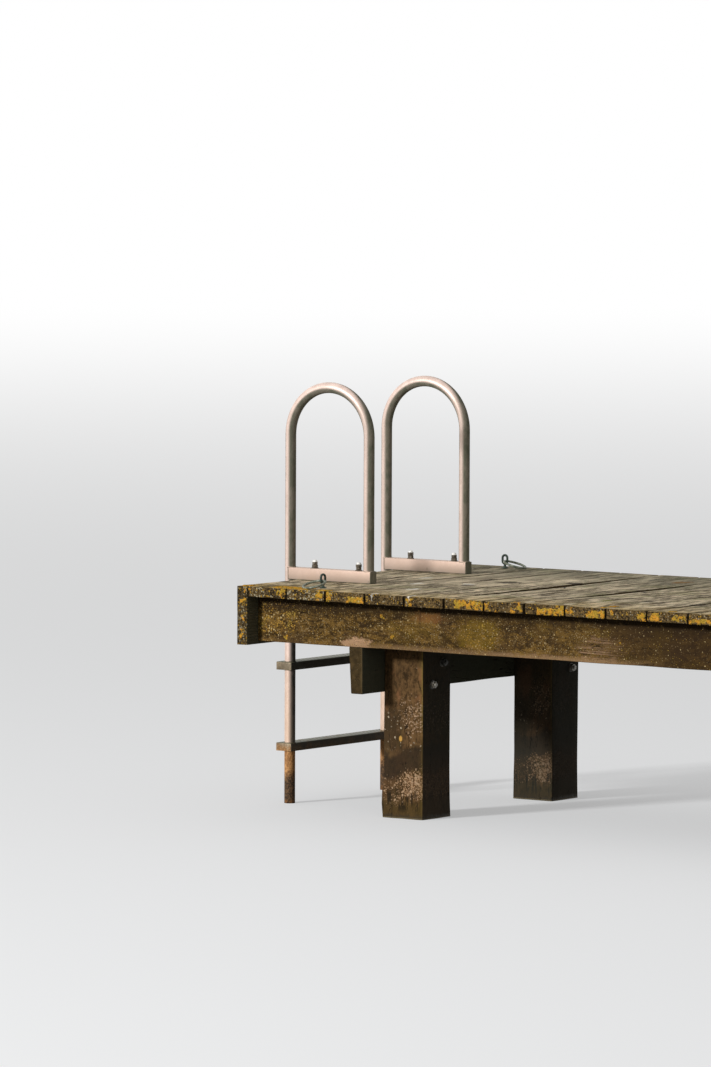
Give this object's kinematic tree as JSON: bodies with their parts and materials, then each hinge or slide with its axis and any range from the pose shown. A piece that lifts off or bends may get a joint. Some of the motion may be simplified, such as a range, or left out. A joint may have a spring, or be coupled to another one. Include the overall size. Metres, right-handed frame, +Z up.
{
  "type": "wooden jetty",
  "caption": "Straight timber jetty on square piles with crossbeams, a boarded deck, a bent-tube bathing ladder at its outer end and loose mooring rings.",
  "frame": {"origin": "at the waterline, under the middle of the overall length and width", "axes": "+X along the jetty from its outer end towards land, +Y across the deck, +Z up; the ladder is at the -X end"},
  "size_m": [5.731, 1.4, 1.5618],
  "materials": {
    "deck_wood": "sawn boards weathered grey-beige, with lichen on their ends",
    "beam_wood": "sawn beams weathered brown and olive",
    "pile_wood": "rough square piles, dark and wet towards the water",
    "stainless": "ground stainless tube and sheet, stained near the water",
    "bolt_steel": "bright stainless fasteners, dulled",
    "galvanised": "dull hot-dip zinc, dark grey-green"
  },
  "bodies": {
    "jetty": {"near_beam_1": "beam_wood", "near_beam_2": "beam_wood", "middle_beam_1": "beam_wood", "middle_beam_2": "beam_wood", "far_beam_1": "beam_wood", "far_beam_2": "beam_wood", "crossbeam_1": "beam_wood", "near_pile_1": "pile_wood", "far_pile_1": "pile_wood", "crossbeam_bolts_1": "bolt_steel", "crossbeam_2": "beam_wood", "near_pile_2": "pile_wood", "far_pile_2": "pile_wood", "crossbeam_bolts_2": "bolt_steel", "crossbeam_3": "beam_wood", "near_pile_3": "pile_wood", "far_pile_3": "pile_wood", "crossbeam_bolts_3": "bolt_steel", "end_fascia": "deck_wood", "deck_boards_1": "deck_wood", "deck_boards_2": "deck_wood", "near_handrail": "stainless", "near_base_box": "stainless", "near_mooring_eye": "galvanised", "far_handrail": "stainless", "far_base_box": "stainless", "far_mooring_eye": "galvanised", "upper_rung": "stainless", "lower_rung": "stainless", "base_bolts": "bolt_steel"},
    "near_ring": {"near_mooring_ring": "galvanised"},
    "far_ring": {"far_mooring_ring": "galvanised"}
  },
  "joints": [
    {"name": "near_ring_swing", "type": "hinge", "parent": "jetty", "child": "near_ring", "pos_m": [-2.468, -0.59, 0.8568], "axis": [-0.9511, 0.309, 0], "range_deg": [0, 147]},
    {"name": "far_ring_swing", "type": "hinge", "parent": "jetty", "child": "far_ring", "pos_m": [-2.494, 0.6025, 0.8568], "axis": [0.225, -0.9744, 0], "range_deg": [0, 147]}
  ]
}
